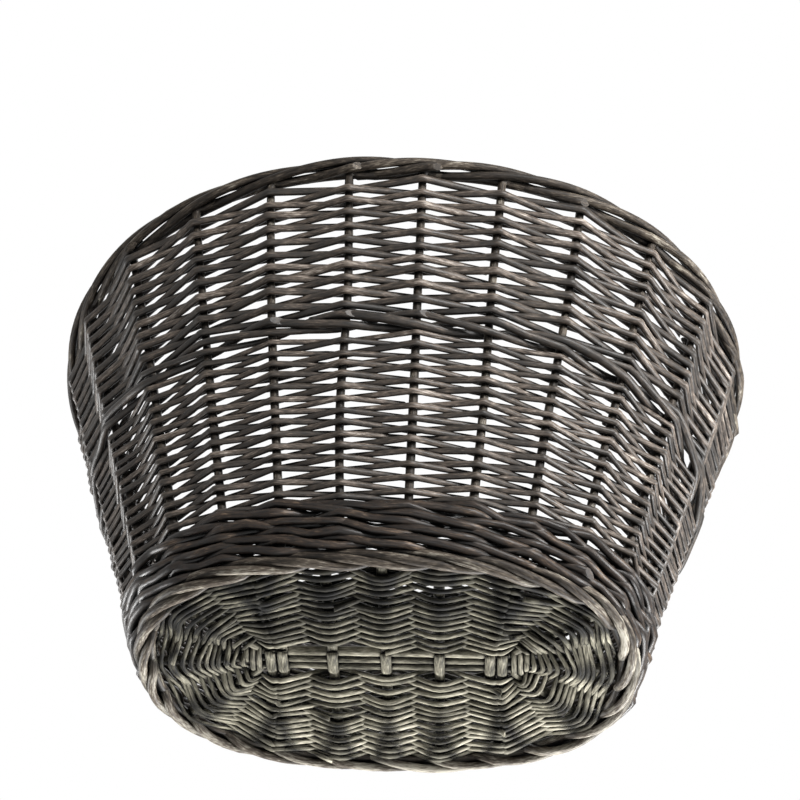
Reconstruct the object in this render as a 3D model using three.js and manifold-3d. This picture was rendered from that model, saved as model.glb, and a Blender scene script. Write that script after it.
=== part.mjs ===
// An oval willow bicycle basket, woven the way a basket maker builds it: a slath of crossed sticks with
// its base weave, stakes that stand up round the base, a foot border, an upsett of waling, two bands of
// randing with a wale between them, and a rim border laid down from the tips of the stakes.
// Millimetres, +Z up. The origin is on the floor under the middle of the basket. -Y is the side that is
// woven higher, and X runs along the oval. Rods are lofted through rings that follow the weave, and a place
// round the oval is counted in stakes from the middle of the -Y side.
import * as THREE from "three";
import Module from "manifold-3d";

const wasm = await Module();
wasm.setup();

// Driving dimensions of the whole basket
const rimHalfWidth = 210;
const rimHalfDepth = 172.5;
const rimSquareShare = 0.061;
const footHalfWidth = 135;
const footHalfDepth = 92;
const footSquareShare = 0.156;
const basketHeight = 220;
const rimTilt = -0.082;
const middleWaleShare = 0.57;
const fit = 0.3;
const bendSlackShare = 1.1;

// Stakes, with their butts laid down into the foot border and their tips into the rim border
const stakeCount = 25;
const firstStakeShare = 0.37;
const stakeRadius = 2.2;
const borderRodRadius = 2.5;
const borderTipRadius = 1.9;
const borderStrokeCount = 3;
const rimCrook = 3.5;
const treadDepth = 0.5;

// Waling: rods that pass before two stakes and behind one, three to a row
const waleRodRadius = 2.3;
const waleSlackShare = 1.1;
const waleButtShare = 0.3;
const upsettRowCount = 2;
const upsettSeamCount = 1;
const middleWaleSeamCount = 22;

// Randing: rods in and out of the stakes, climbing a row each time round
const randThickness = 2.6;
const randTurnCount = 2.8;
const lowerRandCount = 5;
const upperRandCount = 4;
const randSeamCount = 9;
const randButtShare = 0.3;

// Base: three long sticks through the eyes of seven cross sticks, and two weavers that chase each other
const crossStickRadius = 2.7;
const crossStickPitchShare = 0.211;
const crossPairPitch = 6.4;
const crossPairFan = 7;
const longStickRadius = 2.1;
const eyeCheek = 1.9;
const eyeTaper = 4;
const baseCrown = 5;
const fanAngle = 30;
const fanOpenShare = 0.26;
const slathOpenShare = 0.05;
const baseFillShare = 0.88;
const baseWeaverThickness = 2.2;
const baseWeaverTurnCount = 5;
const baseEdgeGap = 7;

// Shape settings
const rodSides = 5;
const bandSides = 4;
const bandCorner = Math.SQRT2 / 2;
const stickSides = 6;
const waleSides = 4;
const curveSteps = 1440;

const up = new THREE.Vector3(0, 0, 1);
const { lerp, degToRad, euclideanModulo } = THREE.MathUtils;

// Border bundle: its rods lie a quarter turn apart round a core line
const quarterTurn = Math.PI / 2;
const bundleRadius = (Math.SQRT2 * (borderRodRadius + fit / 2)) / Math.cos(quarterTurn / 4);
const bundleReach = bundleRadius + borderRodRadius;
const flatReach = bundleRadius + borderRodRadius * Math.cos(Math.PI / rodSides);
const footCrook = 2 * crossStickRadius + borderTipRadius + 2 * fit - bundleRadius;

// Heights of the wall, counted before the rim's tilt
const footCoreHeight = flatReach - treadDepth;
const rimCoreHeight = basketHeight - bundleReach;
const upsettHeight = footCoreHeight + bundleRadius + footCrook;
const waleLift = waleSlackShare * (2 * waleRodRadius + fit);
const waleHeight = waleLift + 2 * waleRodRadius;
const waleRowPitch = 2 * waleLift;
const lowerBandBottom = upsettHeight + (upsettRowCount - 1) * waleRowPitch + waleHeight;
const lowerBandTop = middleWaleShare * basketHeight - waleHeight / 2;
const upperBandBottom = lowerBandTop + waleHeight;
const upperBandTop = rimCoreHeight - bundleRadius - rimCrook;

// The wall's middle surface runs from the core of the foot border to the core of the rim border
const footWall = [footHalfWidth - bundleReach, footHalfDepth - bundleReach, footSquareShare];
const rimWall = [rimHalfWidth - bundleReach, rimHalfDepth - bundleReach, rimSquareShare];
const middleWall = footWall.map((size, i) => (size + rimWall[i]) / 2);
const angleAtShare = outlineAngles(middleWall);

// A point of an oval, given as its half width, its half depth and how far it goes from an ellipse to a box
function ovalPoint([halfWidth, halfDepth, squareShare], angle) {
  const power = 1 - squareShare;
  const c = Math.cos(angle);
  const s = Math.sin(angle);
  return [halfWidth * Math.sign(c) * Math.abs(c) ** power, halfDepth * Math.sign(s) * Math.abs(s) ** power];
}

// The angle that goes with each share of an oval's outline, from the middle of the -Y side towards +X
function outlineAngles(oval) {
  const start = -quarterTurn;
  const angle = (step) => start + (2 * Math.PI * step) / curveSteps;
  const lengths = [0];
  for (let step = 1; step <= curveSteps; step++) {
    const [x, y] = ovalPoint(oval, angle(step));
    const [lastX, lastY] = ovalPoint(oval, angle(step - 1));
    lengths.push(lengths[step - 1] + Math.hypot(x - lastX, y - lastY));
  }
  return (share) => {
    const turns = Math.floor(share);
    const wanted = (share - turns) * lengths[curveSteps];
    const next = Math.max(lengths.findIndex((length) => length > wanted), 1);
    const part = (wanted - lengths[next - 1]) / (lengths[next] - lengths[next - 1]);
    return angle(turns * curveSteps + next - 1 + part);
  };
}

// The wall's middle surface. Between stakes it is flat, because the rods pull straight from stake to stake
function stakePoint(stake, height) {
  const rise = (height - footCoreHeight) / (rimCoreHeight - footCoreHeight);
  const oval = footWall.map((size, i) => lerp(size, rimWall[i], rise));
  const [x, y] = ovalPoint(oval, angleAtShare((stake + firstStakeShare) / stakeCount));
  return new THREE.Vector3(x, y, height + rimTilt * y * rise);
}

function wallPoint(place, height) {
  const stake = Math.floor(place);
  return stakePoint(stake, height).lerp(stakePoint(stake + 1, height), place - stake);
}

// Directions at a point of the wall: along the weave, up the stakes, out of the basket, and out on the level
function wallFrame(place, height) {
  const along = stakePoint(place + 1 / 2, height).sub(stakePoint(place - 1 / 2, height)).normalize();
  const rising = stakePoint(place, height + fit).sub(stakePoint(place, height)).normalize();
  const out = along.clone().cross(rising).normalize();
  const level = along.clone().cross(up).normalize();
  return { along, rising, out, level };
}

function offWall(place, height, outward, upward = 0) {
  const { rising, out } = wallFrame(place, height);
  return wallPoint(place, height).addScaledVector(out, outward).addScaledVector(rising, upward);
}

function strokeLength(stake, height) {
  return stakePoint(stake, height).distanceTo(stakePoint(stake + 1, height));
}

// How far off its middle line a rod must pass, so that its bent run keeps the distance asked for
function reachAtBend(before, here, after, distance) {
  const arriving = here.clone().sub(before).normalize();
  const leaving = after.clone().sub(here).normalize();
  return distance / Math.sqrt((1 + arriving.dot(leaving)) / 2);
}

// A closed rod lofted through stations, each with a place, a facing direction, a thickness and a width.
// The corners lie on the rod's surface, or for a flat band at the corners of its box
function loftRod(stations, sides, corner = 1 / 2) {
  const last = stations.length - 1;
  const rings = stations.map(({ place, facing, thickness, width }, i) => {
    const arriving = place.clone().sub(stations[Math.max(i - 1, 0)].place).normalize();
    const leaving = stations[Math.min(i + 1, last)].place.clone().sub(place).normalize();
    const tangent = arriving.clone().add(leaving).normalize();
    const outside = facing.clone().addScaledVector(tangent, -facing.dot(tangent)).normalize();
    const across = tangent.clone().cross(outside);
    const bend = leaving.clone().sub(arriving).normalize();
    const mitre = i > 0 && i < last ? Math.SQRT2 / Math.sqrt(1 + arriving.dot(leaving)) - 1 : 0;
    return Array.from({ length: sides }, (_, side) => {
      const turn = (2 * Math.PI * (side + 1 / 2)) / sides;
      const point = outside.clone().multiplyScalar(thickness * corner * Math.cos(turn));
      point.addScaledVector(across, width * corner * Math.sin(turn));
      return point.addScaledVector(bend, point.dot(bend) * mitre).add(place);
    });
  });
  return closedLoft(rings);
}

function closedLoft(rings) {
  const sides = rings[0].length;
  const last = (rings.length - 1) * sides;
  const faces = [];
  for (let start = 0; start < last; start += sides) {
    for (let side = 0; side < sides; side++) {
      const a = start + side;
      const b = start + ((side + 1) % sides);
      faces.push(a, b, b + sides, a, b + sides, a + sides);
    }
  }
  for (let side = 1; side < sides - 1; side++) {
    faces.push(0, side + 1, side);
    faces.push(last, last + side, last + side + 1);
  }
  const corners = rings.flat().flatMap((point) => point.toArray());
  const geometry = new THREE.BufferGeometry();
  geometry.setAttribute("position", new THREE.Float32BufferAttribute(corners, 3));
  geometry.setIndex(faces);
  return geometry;
}

function cutAway(geometry, tool) {
  const mesh = toSolid(geometry).subtract(toSolid(tool)).getMesh();
  const cut = new THREE.BufferGeometry();
  cut.setAttribute("position", new THREE.BufferAttribute(mesh.vertProperties, 3));
  cut.setIndex(new THREE.BufferAttribute(mesh.triVerts, 1));
  return cut;
}

function toSolid(geometry) {
  const vertProperties = new Float32Array(geometry.getAttribute("position").array);
  const triVerts = new Uint32Array(geometry.index.array);
  return new wasm.Manifold(new wasm.Mesh({ numProp: 3, vertProperties, triVerts }));
}

// Materials and pieces
function willow(name, color, roughness) {
  const material = new THREE.MeshStandardMaterial({ color, roughness, metalness: 0 });
  material.name = name;
  return material;
}

const basket = new THREE.Group();

function addPiece(name, geometry, material) {
  const mesh = new THREE.Mesh(geometry, material);
  mesh.name = name;
  geometry.computeVertexNormals();
  basket.add(mesh);
}

function numbered(name, index) {
  return name + "_" + String(index + 1).padStart(2, "0");
}

function roundStation(place, facing, radius) {
  return { place, facing, thickness: 2 * radius, width: 2 * radius };
}

// Stakes. A border tail makes a quarter turn round its bundle with each stroke, and passes over, out and in.
// The side is 1 at the rim, where the tail starts at the bottom of the bundle, and -1 at the foot
function tailStation(stake, strokes, coreHeight, side) {
  const place = stake + strokes;
  const turn = side * quarterTurn * (strokes < 1 / 2 ? -1 : strokes - 1);
  const { along, level } = wallFrame(place, coreHeight);
  const facing = level.clone().multiplyScalar(Math.cos(turn)).addScaledVector(up, Math.sin(turn));
  const core = wallPoint(place, coreHeight);
  const facingAcross = facing.clone().addScaledVector(along, -facing.dot(along));
  const thinning = Math.max(0, strokes - borderStrokeCount + 1);
  const radius = lerp(borderRodRadius, borderTipRadius, thinning);
  return roundStation(core.addScaledVector(facing, bundleRadius), facingAcross, radius);
}

function borderTail(stake, coreHeight, crook, side) {
  const stations = [tailStation(stake, crook / strokeLength(stake, coreHeight), coreHeight, side)];
  for (let half = 1; half <= 2 * borderStrokeCount; half++) {
    stations.push(tailStation(stake, half / 2, coreHeight, side));
  }
  return stations;
}

function stakeGeometry(stake) {
  const heights = [0, 1 / 2, 1].map((share) => lerp(upsettHeight, upperBandTop, share));
  const wall = heights.map((height) =>
    roundStation(stakePoint(stake, height), wallFrame(stake, height).out, stakeRadius),
  );
  const foot = borderTail(stake, footCoreHeight, footCrook, -1).reverse();
  const rim = borderTail(stake, rimCoreHeight, rimCrook, 1);
  return loftRod([...foot, ...wall, ...rim], rodSides);
}

// What a foot tail would push below the floor is cut flat, so that the basket stands on flat treads
function belowFloor() {
  const size = 4 * Math.max(rimHalfWidth, rimHalfDepth, basketHeight);
  return closedBox(size, -size / 2);
}

function closedBox(size, middleHeight) {
  const half = size / 2;
  const ring = (height) => [
    new THREE.Vector3(-half, -half, height),
    new THREE.Vector3(half, -half, height),
    new THREE.Vector3(half, half, height),
    new THREE.Vector3(-half, half, height),
  ];
  return closedLoft([ring(middleHeight - half), ring(middleHeight + half)]);
}

function addStakes(material) {
  for (let stake = 0; stake < stakeCount; stake++) {
    addPiece(numbered("stake", stake), cutAway(stakeGeometry(stake), belowFloor()), material);
  }
}

// Waling. A stroke passes behind a stake, out between two stakes, before two stakes and in again
const waleStrokeCount = 3;
const waleFlat = waleRodRadius * Math.cos(Math.PI / waleSides);
const waleOut = bendSlackShare * (stakeRadius + waleFlat + fit);
const waleOutward = [-1, 0, 1, 1, 1, 0];
const waleUpward = [0, 1, 1, 0, -1, -1];

function walePlace(half, strand, height) {
  const step = euclideanModulo(half - 2 * strand, 2 * waleStrokeCount);
  return offWall(half / 2, height, waleOutward[step] * waleOut, (waleUpward[step] * waleLift) / 2);
}

// Each rod starts between two stakes, and ends where the next rod of its row started
function waleRod(seam, strand, height) {
  const first = 2 * strand + 1;
  const last = 2 * (stakeCount + euclideanModulo(strand - stakeCount, waleStrokeCount)) + 1;
  const stations = [];
  for (let half = first; half <= last; half++) {
    const straight = euclideanModulo(half - 2 * strand, 2 * waleStrokeCount) === waleStrokeCount;
    if (straight && half > first && half < last) continue;
    const place = walePlace(half + 2 * seam, strand + seam, height);
    stations.push(roundStation(place, wallFrame(half / 2 + seam, height).out, waleRodRadius));
  }
  stations[0].place.lerp(stations[1].place, waleButtShare);
  return loftRod(stations, waleSides);
}

function addWale(name, rows, bottom, seam, material) {
  for (let row = 0; row < rows; row++) {
    const height = bottom + waleHeight / 2 + row * waleRowPitch;
    for (let strand = 0; strand < waleStrokeCount; strand++) {
      const rod = waleRod(seam + row * waleStrokeCount, strand, height);
      addPiece(numbered(name, row * waleStrokeCount + strand), rod, material);
    }
  }
}

// Randing. The number of stakes is odd, so each row passes where the last one did not
function randPlace(stroke, height) {
  const stake = randSeamCount + stroke;
  const side = stroke % 2 ? 1 : -1;
  const distance = stakeRadius + randThickness / 2 + fit;
  const before = offWall(stake - 1, height, -side * distance);
  const after = offWall(stake + 1, height, -side * distance);
  const reach = reachAtBend(before, offWall(stake, height, side * distance), after, distance);
  return offWall(stake, height, side * reach);
}

function addRanding(name, rods, bottom, top, material) {
  const rows = rods * randTurnCount;
  const pitch = (top - bottom - fit) / (rows + 1);
  const strokesPerRod = randTurnCount * stakeCount;
  for (let rod = 0; rod < rods; rod++) {
    const stations = [];
    for (let stroke = rod * strokesPerRod; stroke <= (rod + 1) * strokesPerRod; stroke++) {
      const height = bottom + fit + pitch * (1 / 2 + stroke / stakeCount);
      const place = randPlace(stroke, height);
      const facing = wallFrame(randSeamCount + stroke, height).out;
      stations.push({ place, facing, thickness: randThickness, width: pitch - fit });
    }
    const end = stations.length - 1;
    stations[0].place.lerp(stations[1].place, randButtShare);
    stations[end].place.lerp(stations[end - 1].place, randButtShare);
    addPiece(numbered(name, rod), loftRod(stations, bandSides, bandCorner), material);
  }
}

// Base sticks. They rest on the inner rods of the foot border, under the upsett, and the slath is crowned
const crossStickFlat = crossStickRadius * Math.cos(Math.PI / stickSides);
const baseEdgeHeight = footCoreHeight + borderTipRadius + fit + crossStickFlat;
const slathHeight = baseEdgeHeight + baseCrown;
const stickEndInset = borderRodRadius + fit;
const baseOval = [footWall[0] - stickEndInset, footWall[1] - stickEndInset, footSquareShare];
const longStickPitch = 2 * longStickRadius + fit;
const eyeHalfLength = longStickPitch + longStickRadius + fit;
const eyeHalfHeight = longStickRadius + fit;
const eyeEnd = eyeHalfLength + eyeTaper;
const slathHalfDepth = eyeEnd + eyeTaper / 2;
const crossStickPitch = crossStickPitchShare * footHalfWidth;
const pairMiddle = 2 * crossStickPitch + crossPairPitch / 4;
const pairPlaces = [pairMiddle - crossPairPitch / 2, pairMiddle + crossPairPitch / 2];
const slathHalfWidth = pairPlaces[1] + crossStickRadius + fit;

const crossSticks = [
  ...[...pairPlaces].reverse().map((x) => ({ x: -x, fan: -crossPairFan })),
  ...[-1, 0, 1].map((step) => ({ x: step * crossStickPitch, fan: 0 })),
  ...pairPlaces.map((x) => ({ x, fan: crossPairFan })),
];

function baseOutlineDepth(x) {
  const [halfWidth, halfDepth, squareShare] = baseOval;
  const power = 2 / (1 - squareShare);
  return halfDepth * (1 - (Math.abs(x) / halfWidth) ** power) ** (1 / power);
}

// Half of a stick, from the slath to its end: the weave lies on this straight run
function crossArm({ x, fan }, side) {
  const start = new THREE.Vector3(x, side * slathHalfDepth, slathHeight);
  const end = new THREE.Vector3(x + fan, side * baseOutlineDepth(x + fan), baseEdgeHeight);
  return { start, weaveStart: start.clone().lerp(end, slathOpenShare), end, radius: crossStickRadius };
}

function longArm(row, side) {
  const start = new THREE.Vector3(side * slathHalfWidth, row * longStickPitch, slathHeight);
  const [x, y] = ovalPoint(baseOval, degToRad(row * fanAngle));
  const end = new THREE.Vector3(side * x, y, baseEdgeHeight);
  return { start, weaveStart: start.clone().lerp(end, fanOpenShare), end, radius: longStickRadius };
}

function crossStick(stick) {
  const thick = 2 * (eyeHalfHeight + eyeCheek);
  const halfStations = (side) => {
    const { start, end } = crossArm(stick, side);
    const shoulder = new THREE.Vector3(stick.x, side * eyeHalfLength, slathHeight);
    return [roundStation(end, up, crossStickRadius), roundStation(start, up, crossStickRadius), {
      place: shoulder,
      facing: up,
      thickness: thick,
      width: 2 * crossStickRadius,
    }];
  };
  const rod = loftRod([...halfStations(-1), ...halfStations(1).reverse()], stickSides);
  return cutAway(rod, eyeOpening(stick.x));
}

// The eye split in a cross stick, which the long sticks pass through
function eyeOpening(x) {
  const ring = (side) =>
    [
      [-eyeEnd, 0],
      [-eyeHalfLength, -eyeHalfHeight],
      [eyeHalfLength, -eyeHalfHeight],
      [eyeEnd, 0],
      [eyeHalfLength, eyeHalfHeight],
      [-eyeHalfLength, eyeHalfHeight],
    ].map(([y, z]) => new THREE.Vector3(x + side * 2 * crossStickRadius, y, slathHeight + z));
  return closedLoft([ring(-1), ring(1)]);
}

function longStick(row) {
  const left = longArm(row, -1);
  const right = longArm(row, 1);
  const places = [left.end, left.start, right.start, right.end];
  return loftRod(places.map((place) => roundStation(place, up, longStickRadius)), stickSides);
}

function addBaseSticks(material) {
  crossSticks.forEach((stick, i) => addPiece(numbered("cross_stick", i), crossStick(stick), material));
  [-1, 0, 1].forEach((row, i) => addPiece(numbered("long_stick", i), longStick(row), material));
}

// Base weave. An arm of a doubled stick is woven as one with its neighbour
function baseArms() {
  const units = [
    ...crossSticks.slice(3).map((stick) => crossArm(stick, -1)),
    ...[-1, 0, 1].map((row) => longArm(row, 1)),
    ...[...crossSticks].reverse().map((stick) => crossArm(stick, 1)),
    ...[1, 0, -1].map((row) => longArm(row, -1)),
    ...crossSticks.slice(0, 3).map((stick) => crossArm(stick, -1)),
  ];
  let unit = -1;
  return units.map((arm, i) => {
    const before = units[euclideanModulo(i - 1, units.length)];
    const near = arm.start.distanceTo(before.start) < crossPairPitch + fit;
    const paired = i > 0 && near && arm.radius > longStickRadius;
    unit += paired ? 0 : 1;
    return { ...arm, unit };
  });
}

function baseWeaver(arms, strand) {
  const unitCount = arms[arms.length - 1].unit + 1;
  const rows = 2 * baseWeaverTurnCount + 1;
  const middle = (i, shift = 0) => {
    const arm = arms[euclideanModulo(i, arms.length)];
    const turn = Math.floor(i / arms.length);
    const share = (strand + shift + 2 * (turn + arm.unit / unitCount)) / rows;
    const length = arm.end.distanceTo(arm.weaveStart);
    return arm.weaveStart.clone().lerp(arm.end, share * (1 - baseEdgeGap / length));
  };
  const stations = [];
  for (let i = 0; i <= baseWeaverTurnCount * arms.length - 1; i++) {
    const arm = arms[i % arms.length];
    const side = (arm.unit + strand) % 2 ? 1 : -1;
    const distance = bendSlackShare * (arm.radius + baseWeaverThickness / 2 + fit);
    const raised = middle(i).addScaledVector(up, side * distance);
    const beside = [i - 1, i + 1].map((j) => {
      const same = arms[euclideanModulo(j, arms.length)].unit === arm.unit;
      return middle(j).addScaledVector(up, same ? side * distance : -side * distance);
    });
    const reach = reachAtBend(beside[0], raised, beside[1], distance);
    const armLine = arm.end.clone().sub(arm.start).normalize();
    const facing = up.clone().addScaledVector(armLine, -armLine.z).normalize();
    const course = middle(i + 1).sub(middle(i - 1)).normalize();
    const across = course.clone().cross(facing).normalize();
    const pitch = Math.abs(middle(i, 1).sub(middle(i)).dot(across));
    stations.push({
      place: middle(i).addScaledVector(facing, side * reach),
      facing,
      thickness: baseWeaverThickness,
      width: baseFillShare * pitch - fit,
    });
  }
  return loftRod(stations, bandSides, bandCorner);
}

function addBaseWeave(material) {
  const arms = baseArms();
  [0, 1].forEach((strand) => addPiece(numbered("base_weaver", strand), baseWeaver(arms, strand), material));
}

const stakeWillow = willow("stake_willow", 0x4a423c, 0.6);
const weaverWillow = willow("weaver_willow", 0x57504a, 0.65);
const baseWillow = willow("base_willow", 0x67665f, 0.7);

addBaseSticks(baseWillow);
addBaseWeave(baseWillow);
addStakes(stakeWillow);
addWale("upsett_rod", upsettRowCount, upsettHeight, upsettSeamCount, weaverWillow);
addRanding("lower_randing", lowerRandCount, lowerBandBottom, lowerBandTop, weaverWillow);
addWale("middle_wale_rod", 1, lowerBandTop, middleWaleSeamCount, weaverWillow);
addRanding("upper_randing", upperRandCount, upperBandBottom, upperBandTop, weaverWillow);

// The middle of the basket's box is put over the origin, on the floor
const box = new THREE.Box3().setFromObject(basket);
const middle = box.getCenter(new THREE.Vector3());
basket.position.set(-middle.x, -middle.y, -box.min.z);

export default basket;
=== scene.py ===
"""The woven look of an oval willow bicycle basket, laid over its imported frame.

Every rod of the basket is a straight willow rod that is bent along its course in the weave. Lengths are in
metres, +Z is up, -Y is the side that is woven higher and X runs along the oval. A place round the oval is
counted in stakes from the middle of the -Y side, and a height is counted before the tilt of the rim.
"""
from __future__ import annotations

import logging
import math
from collections.abc import Sequence
from dataclasses import dataclass, field
from enum import Enum

import bpy
import numpy as np
from bpy.types import Material, Mesh, Node, NodeSocket, NodeTree
from mathutils import Matrix, Vector


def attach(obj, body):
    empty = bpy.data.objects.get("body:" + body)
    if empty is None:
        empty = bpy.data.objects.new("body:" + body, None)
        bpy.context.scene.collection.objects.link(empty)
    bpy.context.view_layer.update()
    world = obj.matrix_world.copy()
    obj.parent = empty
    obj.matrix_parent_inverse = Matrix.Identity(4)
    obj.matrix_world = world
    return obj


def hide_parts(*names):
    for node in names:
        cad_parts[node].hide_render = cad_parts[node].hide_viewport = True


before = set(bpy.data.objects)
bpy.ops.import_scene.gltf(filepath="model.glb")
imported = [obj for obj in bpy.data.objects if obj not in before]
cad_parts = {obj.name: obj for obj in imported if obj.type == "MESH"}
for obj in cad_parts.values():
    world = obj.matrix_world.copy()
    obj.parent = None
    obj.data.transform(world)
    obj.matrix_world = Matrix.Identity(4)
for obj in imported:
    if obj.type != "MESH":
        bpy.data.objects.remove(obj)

LOG = logging.getLogger("basket")
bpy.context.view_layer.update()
MM = 0.001
TINY = 1e-12
QUARTER = math.pi / 2
UP = np.array([0.0, 0.0, 1.0])
SEED = 41
Array = np.ndarray
Pair = tuple[float, float]
Triple = tuple[float, float, float]


def unit(vectors: Array) -> Array:
    """Scale vectors, held in an array's last axis, to a length of one."""
    return vectors / np.maximum(np.linalg.norm(vectors, axis=-1, keepdims=True), TINY)


def looped(values: Sequence[float], step: Array) -> Array:
    """Read a smooth curve that goes through values again and again.

    Args:
        values: the values at whole steps of one loop.
        step: where to read the curve.

    Returns:
        The curve's value at each step.
    """
    table = np.array(values, dtype=float)
    base = np.floor(step).astype(int)
    part = step - base
    before, here, after, beyond = (table[(base + shift) % len(table)] for shift in (-1, 0, 1, 2))
    bend = 2 * before - 5 * here + 4 * after - beyond
    twist = 3 * (here - after) + beyond - before
    return here + part * ((after - before) + part * (bend + part * twist)) / 2


def smooth_path(points: Array, steps: int) -> Array:
    """Lay a smooth curve through points.

    Args:
        points: the points, one per row.
        steps: how many steps each span gets.

    Returns:
        The curve's points, from the first given one to the last.
    """
    ends = np.vstack([2 * points[0] - points[1], points, 2 * points[-1] - points[-2]])
    step = np.arange((len(points) - 1) * steps + 1) / steps + 1
    return np.stack([looped(column, step) for column in ends.T], axis=-1)


def along_knots(step: Array, knots: Array, values: Array) -> Array:
    """Read rows of values, one for each knot, at steps between the knots, in straight lines."""
    return np.stack([np.interp(step, knots, column) for column in values.T], axis=-1)


def oval_point(half_width: float, half_depth: float, roundness: float, angle: Array) -> tuple[Array, Array]:
    """Give points of a rounded oval.

    Args:
        half_width: half of the oval's width.
        half_depth: half of its depth.
        roundness: 2 for an ellipse, and more for a squarer oval.
        angle: the points' angles.

    Returns:
        The x and y of each point.
    """
    power = 2 / roundness
    cos, sin = np.cos(angle), np.sin(angle)
    return half_width * np.sign(cos) * np.abs(cos) ** power, half_depth * np.sign(sin) * np.abs(sin) ** power


class Border(Enum):
    """The two borders that the stakes make, with the side of the wall that each one closes."""

    RIM = 1
    FOOT = -1


@dataclass(frozen=True)
class WallForm:
    """The basket's wall: an oval that flares from the foot border's core to the rim border's core."""

    rim_half_width: float = 210 * MM
    rim_half_depth: float = 172.5 * MM
    rim_roundness: float = 2.13
    foot_half_width: float = 135 * MM
    foot_half_depth: float = 92 * MM
    foot_roundness: float = 2.37
    height: float = 220 * MM
    rim_tilt: float = -0.082
    stake_count: int = 25
    first_stake_shift: float = 0.37
    border_reach: float = 6.6 * MM
    foot_core: float = 5.55 * MM
    flat_share: float = 0.85
    spacing_rise: float = 0.5
    table_steps: int = 2880
    probe: float = 0.25

    @property
    def rim_core(self) -> float:
        """Height of the rim border's core line."""
        return self.height - self.border_reach

    def oval(self, rise: Array) -> tuple[Array, Array, Array]:
        """Give the wall's oval.

        Args:
            rise: 0 at the foot border's core and 1 at the rim border's core.

        Returns:
            The oval's half width, half depth and roundness.
        """
        sizes = (
            (self.foot_half_width, self.rim_half_width, self.border_reach),
            (self.foot_half_depth, self.rim_half_depth, self.border_reach),
            (self.foot_roundness, self.rim_roundness, 0),
        )
        return tuple(foot - inset + (rim - foot) * rise for foot, rim, inset in sizes)

    def angle(self, place: Array) -> Array:
        """Turn places round the oval into the oval's angles.

        Args:
            place: places counted in stakes.

        Returns:
            The angle of each place.
        """
        angles = -QUARTER + np.linspace(0, 2 * math.pi, self.table_steps + 1)
        half_width, half_depth, roundness = self.oval(np.array(self.spacing_rise))
        x, y = oval_point(half_width, half_depth, roundness, angles)
        lengths = np.concatenate([[0], np.cumsum(np.hypot(np.diff(x), np.diff(y)))])
        share = (np.asarray(place, dtype=float) + self.first_stake_shift) / self.stake_count
        turns = np.floor(share)
        return np.interp((share - turns) * lengths[-1], lengths, angles) + 2 * math.pi * turns

    def point(self, place: Array, height: Array) -> Array:
        """Give points of the wall's middle surface.

        Args:
            place: places counted in stakes.
            height: heights before the rim's tilt.

        Returns:
            The points, one per row.
        """
        rise = (np.asarray(height, dtype=float) - self.foot_core) / (self.rim_core - self.foot_core)
        half_width, half_depth, roundness = self.oval(rise)
        x, y = oval_point(half_width, half_depth, roundness, self.angle(place))
        return np.stack([x, y, height + self.rim_tilt * y * rise + 0 * x], axis=-1)

    def axes(self, place: Array, height: Array) -> tuple[Array, Array, Array]:
        """Give the wall's directions.

        Args:
            place: places counted in stakes.
            height: heights before the rim's tilt.

        Returns:
            The directions along the weave, up the stakes and out of the basket.
        """
        along = unit(self.point(place + self.probe, height) - self.point(place - self.probe, height))
        rising = unit(self.point(place, height + MM) - self.point(place, height - MM))
        return along, rising, unit(np.cross(along, rising))

    def off(self, place: Array, height: Array, outward: Array, upward: Array) -> Array:
        """Give points off the wall as weavers pull it, nearly flat from stake to stake.

        Args:
            place: places counted in stakes.
            height: heights before the rim's tilt.
            outward: distances out of the basket.
            upward: distances up the stakes.

        Returns:
            The points, one per row.
        """
        start = np.floor(place)
        part = np.reshape(place - start, (-1, 1))
        chord = self.point(start, height) * (1 - part) + self.point(start + 1, height) * part
        panel = chord * self.flat_share + self.point(place, height) * (1 - self.flat_share)
        _, rising, out = self.axes(place, height)
        pushed = panel + out * np.reshape(outward, (-1, 1))
        return pushed + rising * np.reshape(upward, (-1, 1))


@dataclass
class Course:
    """The line that a rod is bent along, with its section, its cuts and the light painted onto it at each
    point.
    """

    points: Array
    facing: Array
    width: Array
    thickness: Array
    cut_slant: Pair = (0.6, 0.6)
    painted_light: Array | None = None


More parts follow.
